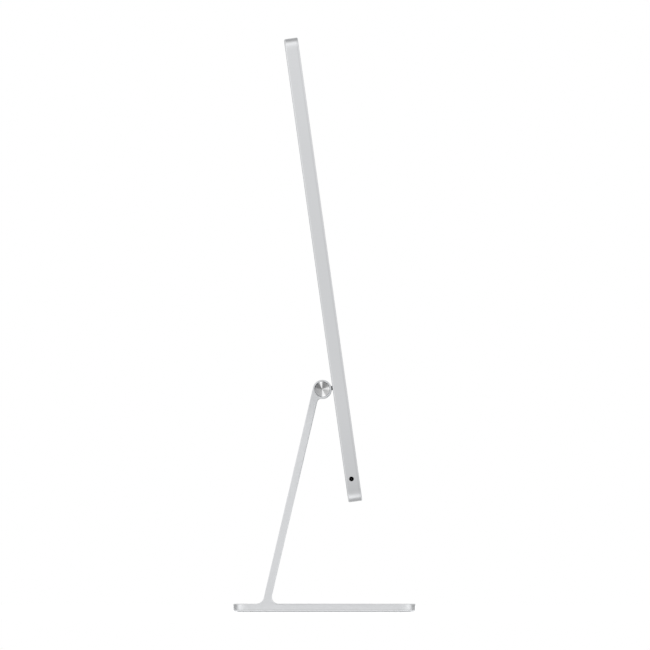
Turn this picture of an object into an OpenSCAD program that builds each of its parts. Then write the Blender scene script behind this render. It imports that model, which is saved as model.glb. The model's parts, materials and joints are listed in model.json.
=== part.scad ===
// All-in-one desktop computer: a thin flat display head on an L-shaped plate stand.
// Frame: +Z up, the screen faces -Y, +X is to the right of someone facing the screen.
// Origin: centre of the footprint, on the resting plane. Millimetres.

/* [Head] */
// Width of the display head
head_w = 547; // [540:1:560]
// Height of the display head measured along the screen
head_h = 374.5; // [370:0.5:380]
// Thickness of the display head
head_t = 11.2; // [11.2:0.1:12.2]
// Corner radius of the head seen from the front
head_r = 10.5; // [8:0.5:14]
// Thickness of the rear wall of the housing
wall_t = 1.0; // [0.9:0.05:1.0]
// Thickness of the side walls of the housing
side_t = 2.6; // [2.2:0.1:2.8]
// Rounding where the rear wall meets the sides
back_round = 1.4; // [0.8:0.1:1.8]
// Width of the metal rim round the glass
lip = 1.3; // [1.2:0.1:1.6]
// Rounding of the rim's outer edge
front_round = 1.0; // [0.4:0.1:1.0]
// Backward lean of the head at rest, in degrees from vertical
tilt = 7.95; // [0:0.05:15]

/* [Stand] */
// Width of the stand, which the arm and the foot share
stand_w = 130; // [120:1:150]
// Front to back length of the foot
foot_d = 147; // [140:1:160]
// Thickness of the foot plate
foot_t = 6.0; // [5.5:0.1:7]
// Corner radius of the foot seen from above
foot_r = 12.5; // [6:0.5:16]
// Thickness of the arm plate
arm_t = 5.8; // [5.2:0.1:6.2]
// Lean of the arm, in degrees from vertical
arm_lean = 13.17; // [11:0.01:15]
// Radius of the cable hole through the arm
cable_hole_r = 14; // [11:0.5:16]
// Fillet between the arm's rear face and the foot
fillet_rear = 7; // [4:0.5:9]
// Fillet between the arm's front face and the foot
fillet_front = 5.5; // [3:0.5:8]

/* [Hinge] */
// Height of the hinge axis above the desk
hinge_z = 180; // [175:1:190]
// Distance of the hinge axis behind the centre of the foot
hinge_y = 1.7; // [0:0.1:4]
// Outer radius of the hinge barrel
barrel_r = 7.55; // [7.5:0.05:7.8]
// Inner radius of the hinge barrel
barrel_bore = 6.2; // [6:0.05:6.3]
// Radius of the hinge shaft
shaft_r = 3.0; // [2.5:0.1:3.2]
// Half the length of the tongue between barrel and head
tongue_hw = 36; // [30:1:36]

/* [Controls and ports] */
// Radius of the power button
button_r = 6.2; // [5:0.1:7]
// Radius of the round power socket
inlet_r = 8.5; // [7:0.1:9]
// Radius of the headphone socket's bore
jack_r = 1.75; // [1.75:0.01:1.8]
// Distance between neighbouring data ports
port_pitch = 16; // [15:0.5:16]

/* [Cooling] */
// Radius of the fan rotors
fan_r = 19; // [17:0.5:19]
// Number of blades on each rotor
fan_blades = 19; // [11:2:23]
// Radius of each perforation along the lower edge
hole_r = 0.85; // [0.6:0.05:0.95]

/* [Hidden] */
$fn = 64;
gap = 0.05; // clearance between neighbouring pieces

// Head shell. In the head frame the screen side is -Y.
drop = 93.5; // hinge axis to the lower edge, along the screen
head_top = head_h - drop;
mid_z = head_top - head_h / 2;
back_y = -8.4; // outer face of the rear wall
inner_y = back_y - wall_t;
rim_y = back_y - head_t; // front of the rim
glass_t = 1.1;
glass_sink = 0.1; // glass behind the front of the rim
glass_back = rim_y + glass_sink + glass_t;
glue_t = 0.4;
ledge = head_t - glass_sink - glass_t - glue_t;

// Foot
pad_t = 0.9;
pad_out = 0.4; // how far the pad stands below the foot
foot_top = foot_t + pad_out;
foot_edge = 1.5; // rounding of the foot's upper edge

// Hinge
tongue_half_t = 1.6;
tongue_front = back_y - 4.9;
hinge_pad_t = 0.8;
bracket_t = 1.4;
bracket_back = inner_y - hinge_pad_t - gap;
bush_x = 50; // inner end of the right bush
bush_len = 10;

// Controls and ports, in the head frame
chin_z = -62; // middle of the space below the screen
inlet_z = -48;
inlet_wall = 1.1;
pin_pitch = 2.6;
window_z = 120;
window_r = 22;
button_x = -238;
button_z = -58;
button_front = -9.9;
jack_y = -13.4;
jack_z = -75.2;
jack_left = -270.8;
jack_right = -257;
jack_half_t = 3.2;
jack_half_h = 3.6;
jack_nose_r = 2.0;
ports_x = 176;
ports_z = -52;
usb_w = 3.3;
usb_h = 9.1;
mic_x = [-24, 24, 60];

// Boards, fans and speakers
pcb_front = -12.4;
pcb_back = -11.4;
processor_x = -40;
spreader_back = pcb_front - 1.3;
spreader_arm_t = 0.8;
port_board_front = -17.4;
port_board_back = -16.4;
fan_x = 120;
fan_front = -17.6;
fan_back = -9.6;
fan_seat = -14.5; // where the fan rests on its posts
fan_case_w = 2 * fan_r + 8;
cover_t = 0.8;
speaker_w = 58;
speaker_front = -18.1;
speaker_back = -9.6;
speaker_z = -62.5;
speaker_seat = -13; // where the speaker box rests on its posts
woofer_dx = -11;
tweeter_dx = 19;
driver_z = -64;

// Screw and pin places, [x, z]
hinge_places = [for (x = [-49, 49], z = [-11, 11]) [x, z]];
board_places = [for (x = [-70, 70], z = [-84, -40]) [x, z]];
spreader_places = [
    for (x = [processor_x - 26, processor_x + 24], z = [chin_z - 15, chin_z + 11]) [x, z]];
port_places = [[147.6, -73.4], [204, -43]];
fan_corners = [for (x = [-1, 1], z = [-1, 1]) (fan_r + 0.4) * [x, z]]; // from the fan's centre
fan_places = [
    for (side = [-1, 1], corner = fan_corners) [side * fan_x + corner[0], chin_z + corner[1]]];
function speaker_x(side) = (side > 0 ? 210 : -212) + speaker_w / 2;
function speaker_screw_places(side) =
    [for (x = [-1, 1]) [speaker_x(side) + x * (speaker_w / 2 - 3.6), -39.8]];
speaker_places = [for (side = [-1, 1], place = speaker_screw_places(side)) place];
pin_places = [for (k = [-2:2]) [k * pin_pitch, inlet_z]];
retainer_places = [for (x = [-1, 1]) [button_x + 10.3 * x, button_z]];
port_x = [for (k = [-1.5:1:1.5]) ports_x + k * port_pitch];

// Posts on the rear wall: places, resting face, radius, bore radius, bore start y, bore depth
housing_posts = [
    [board_places, pcb_back, 2.6, 1.1, -12, 2.4],
    [spreader_places, pcb_back, 2.4, 1.0, -12, 2.4],
    [port_places, port_board_back, 2.2, 1.1, -17, 4],
    [fan_places, fan_seat, 2.2, 1.0, -15, 4.4],
    [speaker_places, speaker_seat, 2.1, 1.0, -13.5, 2.9]];

// Colours that several nodes share
board_green = [0.04, 0.22, 0.13];
screw_grey = [0.35, 0.35, 0.37];
flex_brown = [0.25, 0.18, 0.08];
bracket_grey = [0.5, 0.51, 0.53];
cap_grey = [0.75, 0.76, 0.77];

// ---------- frames and solids ----------
// Head frame: origin on the hinge axis, +Z up along the screen, +Y out of the rear wall.
module head() translate([0, hinge_y, hinge_z]) rotate([-tilt, 0, 0]) children();

// Cylinders that start at the given point and run towards +Y or +X
module along_y(x, y, z, radius, length)
    translate([x, y, z]) rotate([-90, 0, 0]) cylinder(r = radius, h = length);
module along_x(x, y, z, radius, length)
    translate([x, y, z]) rotate([0, 90, 0]) cylinder(r = radius, h = length);

// The same cylinder towards +Y at each [x, z] place
module pegs(places, front, radius, length)
    for (place = places) along_y(place[0], front, place[1], radius, length);

module box(left, right, front, back, bottom, top)
    translate([left, front, bottom]) cube([right - left, back - front, top - bottom]);

// Boxes from rows of left, right, front, back, bottom, top
module boxes(rows) for (row = rows) box(row[0], row[1], row[2], row[3], row[4], row[5]);

// A 2D outline standing upright, extruded forward (-Y) from its back face
module plate(x, back, z, thickness)
    translate([x, back, z]) rotate([90, 0, 0]) linear_extrude(thickness) children();

// Screws along Y: the head in front of the seat, the shank towards the rear wall
module screws(places, seat, head_radius, head_len, shank_radius, shank_len)
    for (place = places) {
        difference() {
            along_y(place[0], seat - head_len, place[1], head_radius, head_len);
            translate([place[0], seat - head_len - 0.1, place[1]]) rotate([-90, 0, 0])
                cylinder(r = head_radius * 0.45, h = head_len * 0.6 + 0.1, $fn = 6);
        }
        along_y(place[0], seat - 0.01, place[1], shank_radius, shank_len);
    }

// ---------- 2D helpers ----------
// Copies at the four corners, turned so the child's +X+Y quadrant points outwards
module at_corners(half_x, half_y)
    for (k = [0:3])
        translate([(k == 0 || k == 3 ? 1 : -1) * half_x, (k < 2 ? 1 : -1) * half_y, 0])
            rotate(90 * k) children();

module quarter(radius) intersection() {
    circle(r = radius);
    square([radius, radius]);
}

module rounded_rect(width, height, radius) {
    square([width - 2 * radius, height - 2 * radius], center = true);
    for (side = [-1, 1]) {
        translate([side * (width - radius) / 2, 0])
            square([radius, height - 2 * radius], center = true);
        translate([0, side * (height - radius) / 2])
            square([width - 2 * radius, radius], center = true);
    }
    at_corners(width / 2 - radius, height / 2 - radius) quarter(radius);
}

// Upright slot shape with round ends, height over the ends
module pill(width, height) {
    radius = width / 2;
    square([width, height - width], center = true);
    translate([0, height / 2 - radius]) intersection() {
        circle(r = radius);
        translate([-radius, 0]) square([width, radius]);
    }
    translate([0, -height / 2 + radius]) intersection() {
        circle(r = radius);
        translate([-radius, -radius]) square([width, radius]);
    }
}

// A rounded rectangle lying in XY. The child profile (x = outwards from the corner centre,
// y = height) is carried round its edge, and a flat slab from bottom to top fills the inside.
module edge_sweep(width, height, radius, bottom, top) {
    half_x = width / 2 - radius;
    half_y = height / 2 - radius;
    translate([-half_x, -half_y, bottom]) cube([2 * half_x, 2 * half_y, top - bottom]);
    translate([half_x, half_y, 0]) rotate([90, 0, 0]) linear_extrude(2 * half_y) children();
    translate([-half_x, -half_y, 0]) rotate([90, 0, 180])
        linear_extrude(2 * half_y) children();
    translate([-half_x, half_y, 0]) rotate([90, 0, 90]) linear_extrude(2 * half_x) children();
    translate([half_x, -half_y, 0]) rotate([90, 0, -90])
        linear_extrude(2 * half_x) children();
    at_corners(half_x, half_y) rotate_extrude(angle = 90) children();
}

// The sharp corner outside a quarter arc, for cutting a rounded edge
module round_cut(radius) difference() {
    square([radius + 1, radius + 1]);
    circle(r = radius);
}

// ---------- stand ----------
// Side view, [y, z]. A point on the arm is a distance down it from the hinge axis and an
// offset towards its rear, square to it.
arm_down = [sin(arm_lean), -cos(arm_lean)];
arm_back = [cos(arm_lean), sin(arm_lean)];
arm_rear_face = barrel_r;
arm_front_face = barrel_r - arm_t;
function arm_point(down, offset) = [hinge_y, hinge_z] + down * arm_down + offset * arm_back;

// Distance down the arm at which its line at an offset reaches height z
function reach(offset, z) = (hinge_z + offset * sin(arm_lean) - z) / cos(arm_lean);

// Distance down the arm to the cable hole, in line with the power inlet
cable_hole_down = (-inlet_z + (barrel_r - arm_t / 2) * sin(arm_lean + tilt))
    / cos(arm_lean + tilt);

// Fillet between the foot and one face of the arm; side is 1 at the rear, -1 at the front
module foot_fillet(face, radius, side) {
    offset = face + side * radius;
    centre = arm_point(reach(offset, foot_top + radius), offset);
    difference() {
        polygon([centre, centre - side * radius * arm_back,
            arm_point(reach(face, foot_top - 2), face - side), [centre[0], foot_top - 1]]);
        translate(centre) circle(r = radius);
    }
}

// Fillet between the barrel and the arm's front face
module barrel_fillet() {
    radius = 3.2;
    offset = arm_front_face - radius;
    down = sqrt(pow(barrel_r + radius, 2) - offset * offset);
    touch = barrel_r / (barrel_r + radius); // where the two arcs touch, along their centres
    difference() {
        polygon([arm_point(down * touch * 0.8, offset * touch * 0.8), arm_point(down, offset),
            arm_point(down, arm_front_face + 1), arm_point(down * touch * 0.6, arm_front_face + 1)]);
        translate(arm_point(down, offset)) circle(r = radius);
    }
}

module stand_profile() {
    polygon([arm_point(0, arm_front_face), arm_point(0, arm_rear_face),
        arm_point(reach(arm_rear_face, foot_top - 2), arm_rear_face),
        arm_point(reach(arm_front_face, foot_top - 2), arm_front_face)]);
    translate([hinge_y, hinge_z]) circle(r = barrel_r);
    foot_fillet(arm_rear_face, fillet_rear, 1);
    foot_fillet(arm_front_face, fillet_front, -1);
    barrel_fillet();
}

module foot() edge_sweep(stand_w, foot_d, foot_r, pad_out, foot_top) difference() {
    translate([0, pad_out]) square([foot_r, foot_t]);
    translate([foot_r - foot_edge, pad_out + foot_edge]) mirror([0, 1]) round_cut(foot_edge);
}

module stand() color([0.83, 0.84, 0.85]) difference() {
    union() {
        translate([-stand_w / 2, 0, 0]) rotate([90, 0, 90])
            linear_extrude(stand_w) stand_profile();
        foot();
    }
    along_x(-stand_w / 2 - 1, hinge_y, hinge_z, barrel_bore, stand_w + 2);
    // window in the barrel for the tongue's swing
    head() box(-tongue_hw - 1.5, tongue_hw + 1.5, -barrel_r - 2, -3, -3.9, 3.9);
    translate([0, hinge_y, hinge_z]) rotate([arm_lean, 0, 0])
        along_y(0, arm_front_face - 4, -cable_hole_down, cable_hole_r, arm_t + 8);
    // recess for the pad
    translate([0, 0, pad_out - 1]) linear_extrude(1 + pad_t - pad_out)
        rounded_rect(stand_w - 7, foot_d - 7, foot_r - 3);
}

module foot_pad() color([0.55, 0.56, 0.57])
    linear_extrude(pad_t - gap) rounded_rect(stand_w - 7.4, foot_d - 7.4, foot_r - 3.2);

// ---------- hinge ----------
// A turned cap with a shallow dish in its face; side is -1 at the left, 1 at the right
module end_cap(side) color(cap_grey) {
    cap_r = barrel_bore - 0.04;
    translate([side * (stand_w / 2 - 0.25), hinge_y, hinge_z]) rotate([0, -90 * side, 0])
        rotate_extrude() polygon([ // distance from the axis, depth behind the face
            [0, 0.45], [4.6, 0.12], [5.6, 0], [barrel_bore - 0.3, 0],
            [cap_r, 0.25], [cap_r, 2.4], [3, 2.4], [0, 2.4]]);
}

module bush(side) color([0.9, 0.88, 0.8])
    translate([side > 0 ? bush_x : -bush_x - bush_len, hinge_y, hinge_z])
        rotate([0, 90, 0]) difference() {
            cylinder(r = barrel_bore - gap, h = bush_len);
            translate([0, 0, -1]) cylinder(r = shaft_r + 0.05, h = bush_len + 2);
        }

module hinge_shaft() color([0.6, 0.61, 0.63]) along_x(-61, hinge_y, hinge_z, shaft_r, 122);

module friction_washers() color([0.5, 0.45, 0.35])
    for (side = [-1, 1], k = [0, 1])
        translate([side * (tongue_hw + 0.6 + 1.1 * k), hinge_y, hinge_z])
            rotate([0, 90, 0]) difference() {
                cylinder(r = barrel_bore - 0.3, h = 1.0, center = true);
                cylinder(r = shaft_r + 0.08, h = 2, center = true);
            }

// Helical spring about the X axis, as rings of points round the wire
module coil(left, right) {
    coil_r = 4.7;
    wire_r = 0.65;
    turn_steps = 16;
    steps = 5 * turn_steps; // five turns
    sides = 6;
    points = [for (i = [0:steps], j = [0:sides - 1])
        let (turn = i / turn_steps * 360,
            x = left + wire_r + (right - left - 2 * wire_r) * i / steps,
            around = j * 360 / sides,
            radius = coil_r + wire_r * cos(around))
        [x + wire_r * sin(around), radius * cos(turn), radius * sin(turn)]];
    faces = concat(
        [[for (j = [0:sides - 1]) j]],
        [for (i = [0:steps - 1], j = [0:sides - 1])
            [i * sides + j, (i + 1) * sides + j, (i + 1) * sides + (j + 1) % sides]],
        [for (i = [0:steps - 1], j = [0:sides - 1])
            [i * sides + j, (i + 1) * sides + (j + 1) % sides, i * sides + (j + 1) % sides]],
        [[for (j = [sides - 1:-1:0]) steps * sides + j]]);
    polyhedron(points = points, faces = faces);
}

module torsion_springs() color([0.45, 0.46, 0.48]) translate([0, hinge_y, hinge_z]) {
    inner = tongue_hw + 2.4;
    outer = bush_x - 0.1;
    coil(inner, outer);
    coil(-outer, -inner);
}

module hinge_tongue() color([0.35, 0.36, 0.38]) head() difference() {
    union() {
        along_x(-tongue_hw, 0, 0, 5.5, 2 * tongue_hw);
        box(-tongue_hw, tongue_hw, tongue_front, -2, -tongue_half_t, tongue_half_t);
    }
    along_x(-tongue_hw - 1, 0, 0, shaft_r + 0.02, 2 * tongue_hw + 2);
}

module hinge_bracket() color(bracket_grey) head() difference() {
    plate_front = bracket_back - bracket_t;
    slot_half = tongue_half_t + gap;
    union() {
        box(-56, 56, plate_front, bracket_back, -17, 17);
        box(-41, 41, back_y - 5.25, plate_front, -7, 7);
    }
    box(-tongue_hw - 0.1, tongue_hw + 0.1, tongue_front - gap, back_y, -slot_half, slot_half);
    pegs(hinge_places, bracket_back - 2, 1.6, 3);
}

module hinge_screws() color([0.3, 0.3, 0.32]) head()
    screws(hinge_places, bracket_back - bracket_t - gap, 2.6, 1.1, 1.4, bracket_t + hinge_pad_t);

// ---------- housing ----------
// Section of the shell's edge: x outwards, y forward from the rear face
module wall_profile() difference() {
    union() {
        square([head_r, wall_t]);
        translate([head_r - side_t, 0]) square([side_t, ledge]);
        translate([head_r - lip, 0]) square([lip, head_t]);
    }
    translate([head_r - back_round, back_round]) mirror([0, 1]) round_cut(back_round);
    translate([head_r - front_round, head_t - front_round]) round_cut(front_round);
}

// Perforation groups in the lower edge, each two rows deep: middle x, holes in a row
grille = [[-183, 16], [0, 56], [236, 16]];
hole_pitch = 3.2;
module grille_cut()
    for (group = grille, row = [0, 1], k = [0:group[1] - 1])
        translate([
            group[0] + (k - (group[1] - 1) / 2) * hole_pitch + (row - 0.5) * hole_pitch / 2,
            back_y - 4.9 - 2.4 * row,
            -drop - 1
        ]) cylinder(r = hole_r, h = side_t + 2, $fn = 24);

module rear_housing() color([0.84, 0.85, 0.86]) head() difference() {
    cut_y = inner_y - 1; // cuts through the rear wall run from here
    cut_len = wall_t + 2;
    root_y = inner_y + 0.1; // added parts sink into the wall
    slot_half = tongue_half_t + 0.3;
    union() {
        translate([0, back_y, mid_z]) rotate([90, 0, 0])
            edge_sweep(head_w, head_h, head_r, 0, wall_t) wall_profile();
        box(-60, 60, inner_y - hinge_pad_t, inner_y + 0.2, -20, 20); // hinge pad
        for (post = housing_posts)
            pegs(post[0], post[1] + gap, post[2], root_y - post[1] - gap);
        // seat behind the headphone socket
        box(jack_left, jack_right, jack_y + jack_half_t + gap, root_y,
            jack_z - jack_half_h, jack_z + jack_half_h);
    }
    box(-tongue_hw - 0.3, tongue_hw + 0.3, inner_y - 2, back_y + 1, -slot_half, slot_half);
    pegs(hinge_places, cut_y, 1.5, 1.7);
    along_y(0, cut_y, inlet_z, inlet_r + inlet_wall + gap, cut_len);
    along_y(0, cut_y, window_z, window_r + gap, cut_len);
    along_y(button_x, cut_y, button_z, button_r + 0.15, cut_len);
    along_x(-head_w / 2 - 1, jack_y, jack_z, jack_nose_r + gap, side_t + 2);
    for (x = port_x) plate(x, back_y + 1, ports_z, cut_len) pill(usb_w + 0.2, usb_h + 0.2);
    for (post = housing_posts) pegs(post[0], post[4], post[3], post[5]);
    for (x = mic_x) // microphone holes
        translate([x, -12.65, head_top - side_t - 1]) cylinder(r = 0.5, h = side_t + 2);
    grille_cut();
}

// ---------- display ----------
glass_w = head_w - 2 * lip - 0.2;
glass_h = head_h - 2 * lip - 0.2;
module front_glass() color([0.95, 0.95, 0.96]) head()
    plate(0, glass_back, mid_z, glass_t) rounded_rect(glass_w, glass_h, head_r - lip - 0.1);

module display_adhesive() color([0.1, 0.1, 0.1]) head()
    plate(0, glass_back + glue_t - 0.02, mid_z, glue_t - 0.04) difference() {
        rounded_rect(glass_w - 0.4, glass_h - 0.4, head_r - lip - 0.3);
        rounded_rect(head_w - 2 * side_t - 0.6, head_h - 2 * side_t - 0.6, head_r - side_t);
    }

// Display layers, front to back
lcd_hw = 264;
lcd_low = -30;
lcd_high = head_top - 10.5;
lcd_front = glass_back + gap;
guide_front = lcd_front + 1.25;
tray_front = lcd_front + 3.45;
tray_back = lcd_front + 4.1;
module lcd_cell() color([0.03, 0.03, 0.04]) head()
    box(-lcd_hw, lcd_hw, lcd_front, lcd_front + 1.2, lcd_low, lcd_high);

module light_guide() color([0.93, 0.95, 0.97]) head()
    box(1 - lcd_hw, lcd_hw - 1, guide_front, tray_front - gap, lcd_low + 3, lcd_high - 1);

module led_strip() color([0.95, 0.93, 0.7]) head() {
    box(-258, 258, lcd_front + 1.4, lcd_front + 3.2, lcd_low + 0.9, lcd_low + 1.7);
    for (k = [-16:16])
        box(k * 15.6 - 2, k * 15.6 + 2, lcd_front + 1.7, lcd_front + 2.9,
            lcd_low + 1.72, lcd_low + 2.8);
}

module backlight_tray() color([0.78, 0.79, 0.8]) head() {
    side_wall = 0.7;
    end_wall = 0.6;
    box(-lcd_hw, lcd_hw, tray_front, tray_back, lcd_low, lcd_high);
    for (x = [-lcd_hw, lcd_hw - side_wall])
        box(x, x + side_wall, guide_front, tray_front, lcd_low, lcd_high);
    for (z = [lcd_low, lcd_high - end_wall])
        box(-lcd_hw, lcd_hw, guide_front, tray_front, z, z + end_wall);
}

module display_driver_board() color([0.05, 0.3, 0.16]) head() {
    face = tray_back + 1.0; // rear face of the board, which carries the parts
    box(-60, 60, tray_back + 0.1, face, 24, 44);
    box(-18, -4, face, face + 1.2, 28, 40);
    box(8, 16, face, face + 0.9, 30, 38);
    difference() { // socket of the display cable
        box(15, 37, face, face + 1.6, 25, 29);
        box(16.5, 35.5, face + 0.5, face + 1.1, 24.9, 27.5);
    }
    for (k = [0:7]) box(-54 + 4 * k, -52 + 4 * k, face, face + 0.7, 33, 37);
}

// ---------- logic board ----------
module logic_board() color(board_green) head() difference() {
    notch_r = inlet_r + 2.5; // clears the power inlet
    box(-80, 80, pcb_front, pcb_back, -88, -36);
    along_y(0, pcb_front - 1, inlet_z, notch_r, 3);
    box(-notch_r, notch_r, pcb_front - 1, pcb_back + 1, inlet_z, -30);
    pegs(board_places, pcb_front - 1, 1.4, 3);
    pegs(spreader_places, pcb_front - 1, 1.2, 3);
}

// A block on the board's front face, centred on x and z
module chip(x, z, width, height, thickness)
    box(x - width / 2, x + width / 2, pcb_front - thickness, pcb_front - 0.02,
        z - height / 2, z + height / 2);

module processor() color([0.55, 0.56, 0.58]) head() {
    chip(processor_x, chin_z - 2, 34, 28, 0.6);
    // dies: left, right, thickness, bottom, top
    for (die = [[-14, 4, 1.25, -13, 9], [6, 15, 1.15, 0, 9], [6, 15, 1.15, -13, -4]])
        box(processor_x + die[0], processor_x + die[1], pcb_front - die[2], pcb_front - 0.59,
            chin_z + die[3], chin_z + die[4]);
}

module board_chips() color([0.08, 0.08, 0.09]) head() {
    for (part = [ // x, z, width, height, thickness
        [24, -50, 12, 10, 1.2], [40, -50, 12, 10, 1.2], [26, -80, 9, 9, 1],
        [44, -81, 6, 6, 0.9], [60, -82, 5, 5, 0.9], [66, -52, 7, 7, 1.1]])
        chip(part[0], part[1], part[2], part[3], part[4]);
    for (k = [0:3]) chip(-77 + 3.6 * k, -58.5, 2, 3, 1.4);
    for (k = [0:8]) chip(15.5 + 5 * k, -86.4, 3, 1.6, 1.1);
}

module board_shields() color([0.75, 0.75, 0.72]) head() {
    wall = 0.3;
    for (can = [[54, 78, -78, -60], [6, 20, -84, -72]]) difference() { // left, right, bottom, top
        box(can[0], can[1], pcb_front - 2.2, pcb_front - 0.02, can[2], can[3]);
        box(can[0] + wall, can[1] - wall, pcb_front - 1.9, pcb_front + 1,
            can[2] + wall, can[3] - wall);
    }
}

module board_connectors() color([0.85, 0.83, 0.78]) head() {
    box(-79, -73.5, pcb_back + 0.02, -10.45, -48, -44); // on the rear of the board
    // x, z, width
    for (part = [[-60, -42, 14], [26, -39.5, 20], [52, -39.5, 12], [-76, -54, 4], [76, -44, 4]])
        difference() {
            half = part[2] / 2;
            chip(part[0], part[1], part[2], 3.2, 1.6);
            box(part[0] - half + 0.6, part[0] + half - 0.6, pcb_front - 2, pcb_front - 0.7,
                part[1] - 0.5, part[1] + 0.5);
        }
}

module coin_cell() color(cap_grey) head() along_y(52, pcb_back + 0.02, -66, 6, 1.7);

// ---------- cooling ----------
module heat_spreader() color([0.8, 0.5, 0.35]) head() difference() {
    union() {
        box(processor_x - 22, processor_x + 20, spreader_back - 1.2, spreader_back,
            chin_z - 18, chin_z + 14);
        for (place = spreader_places) { // arms to the screws
            x = place[0];
            on_left = x < processor_x;
            box(x - (on_left ? 3 : 8), x + (on_left ? 8 : 3),
                spreader_back - spreader_arm_t, spreader_back, place[1] - 2.5, place[1] + 2.5);
        }
    }
    pegs(spreader_places, spreader_back - 2, 1.2, 3);
}

module heat_spreader_screws() color(screw_grey) head()
    screws(spreader_places, spreader_back - spreader_arm_t - gap, 2.1, 0.8, 0.9, 4.4);

pipe_back = spreader_back - 1.25;
pipe_t = 2;
fins_outer = 94;
module heat_pipe() color([0.78, 0.45, 0.28]) head()
    translate([-fins_outer, pipe_back - pipe_t / 2, chin_z - 4]) rotate([90, 0, 90])
        linear_extrude(2 * fins_outer) pill(pipe_t, 8);

module fin_stack(side) color([0.8, 0.81, 0.82]) head() {
    width = 11.5;
    low = -86;
    high = -38;
    left = side > 0 ? fins_outer - width : -fins_outer;
    right = left + width;
    box(left, right, pipe_back + 0.05, pipe_back + 0.55, low, high);
    for (k = [0:15])
        box(left, right, pipe_back + 0.5, -10, low + 3.12 * k, low + 0.4 + 3.12 * k);
    box(left, right, -10.2, -9.7, low, high);
}

// Fan frame: the head frame moved to a fan's centre in x and z
module at_fan(side) head() translate([side * fan_x, 0, chin_z]) children();

// Fan case open at the front, with the rotor's axle standing in it
module fan_housing(side) color([0.12, 0.12, 0.13]) at_fan(side) {
    depth = fan_back - fan_front;
    floor_t = 0.7;
    difference() {
        plate(0, fan_back, 0, depth - 0.85) rounded_rect(fan_case_w, fan_case_w, 6);
        // rotor chamber and the outlet towards the middle of the head
        along_y(0, fan_front, 0, fan_r + 1.5, depth - floor_t);
        box(side > 0 ? -fan_r - 5 : 0, side > 0 ? 0 : fan_r + 5, fan_front, fan_back - floor_t,
            -fan_r + 4, fan_r - 4);
        pegs(fan_corners, fan_front, 1.1, 12);
        pegs(fan_corners, fan_seat, 2.3, 6);
    }
    along_y(0, fan_front + 2.2, 0, 1.0, depth - 2.8);
}

module fan_covers() color([0.25, 0.25, 0.27]) for (side = [-1, 1]) at_fan(side) difference() {
    plate(0, fan_front + cover_t, 0, cover_t) rounded_rect(fan_case_w, fan_case_w, 6);
    along_y(0, fan_front - 1, 0, fan_r - 5, 3);
    pegs(fan_corners, fan_front - 1, 1.1, 3);
}

module fan_rotor(side) color([0.2, 0.2, 0.22]) at_fan(side) {
    difference() { // hub
        along_y(0, fan_front + 1.6, 0, 8, 5);
        along_y(0, fan_front + 2.1, 0, 1.05, 8);
    }
    for (k = [0:fan_blades - 1]) rotate([0, k * 360 / fan_blades, 0])
        translate([7.4, fan_front + 1.9, 0]) rotate([0, 24, 0]) cube([fan_r - 8.8, 4.1, 0.6]);
    difference() { // disc behind the blades
        along_y(0, fan_front + 5.6, 0, fan_r - 0.8, 0.8);
        along_y(0, fan_front + 5, 0, 7.0, 2);
    }
}

// ---------- speakers ----------
module speaker_box(side) color([0.07, 0.07, 0.08]) head() {
    x = speaker_x(side);
    woofer_x = x + woofer_dx;
    tweeter_x = x + tweeter_dx;
    places = speaker_screw_places(side);
    cut_y = -19; // ahead of the front face
    difference() {
        union() {
            difference() { // hollow shell
                plate(x, speaker_back, speaker_z, speaker_back - speaker_front)
                    rounded_rect(speaker_w, 53, 3);
                plate(x, -10.8, speaker_z, 6.3) rounded_rect(speaker_w - 3, 50, 2);
            }
            along_y(woofer_x, speaker_front, driver_z, 16.6, 2.5);
            along_y(tweeter_x, speaker_front, driver_z, 7.6, 3.1);
            for (place = places) // screw blocks
                box(place[0] - 3.2, place[0] + 3.2, speaker_front, speaker_back, -43, -38);
        }
        along_y(woofer_x, cut_y, driver_z, 15.2, 2.55);
        along_y(woofer_x, cut_y, driver_z, 13.2, 6);
        along_y(tweeter_x, cut_y, driver_z, 6.2, 3.35);
        along_y(tweeter_x, cut_y, driver_z, 4.6, 6);
        // slot in the lower wall
        box(x - speaker_w / 2 + 6, x + speaker_w / 2 - 6, -16.4, -11.2, -92, -86.5);
        pegs(places, cut_y, 1.1, 12);
        pegs(places, cut_y, 2.1, 1.9);
        pegs(places, speaker_seat, 2.2, 5);
    }
}

// A turned diaphragm in each speaker; the child profile is [radius, distance forward]
module diaphragms(dx, back) head() for (side = [-1, 1])
    translate([speaker_x(side) + dx, back, driver_z]) rotate([90, 0, 0])
        rotate_extrude() children();

module woofer_cones() color([0.15, 0.15, 0.16]) diaphragms(woofer_dx, -14.7) polygon([
    [0, 0], [4.5, 0], [11, 1.9], [12.2, 2.6], [13.6, 2.6], [15, 1.8],
    [15, 2.3], [13.8, 3.1], [12, 3.1], [10.8, 2.5], [4.2, 0.8], [0, 1.4]]);

module tweeters() color([0.6, 0.6, 0.62]) diaphragms(tweeter_dx, -15.7) polygon([
    [0, 0.6], [4, 0], [6, 0], [6, 1.0], [4.4, 1.2], [3, 1.7], [0, 2.1]]);

// ---------- ports and controls ----------
module port_board() color(board_green) head() {
    parts_y = port_board_back + 0.02;
    difference() {
        box(145, 207, port_board_front, port_board_back, -76, -40);
        pegs(port_places, -18, 1.3, 3);
    }
    for (k = [0:3]) box(151 + 14 * k, 157 + 14 * k, parts_y, -15.3, -73, -67);
    box(145.5, 150, parts_y, -15.3, -47, -43);
}

module usb_c_sockets() color([0.7, 0.71, 0.73]) head()
    for (x = port_x) translate([x, back_y - 0.1, ports_z]) {
        rotate([90, 0, 0]) difference() {
            linear_extrude(back_y - 0.2 - port_board_back) pill(usb_w, usb_h);
            translate([0, 0, -1]) linear_extrude(7.6) pill(usb_w - 0.6, usb_h - 0.6);
        }
        translate([-0.35, -7.0, -3.35]) cube([0.7, 5.8, 6.7]); // contact tongue
    }

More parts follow.
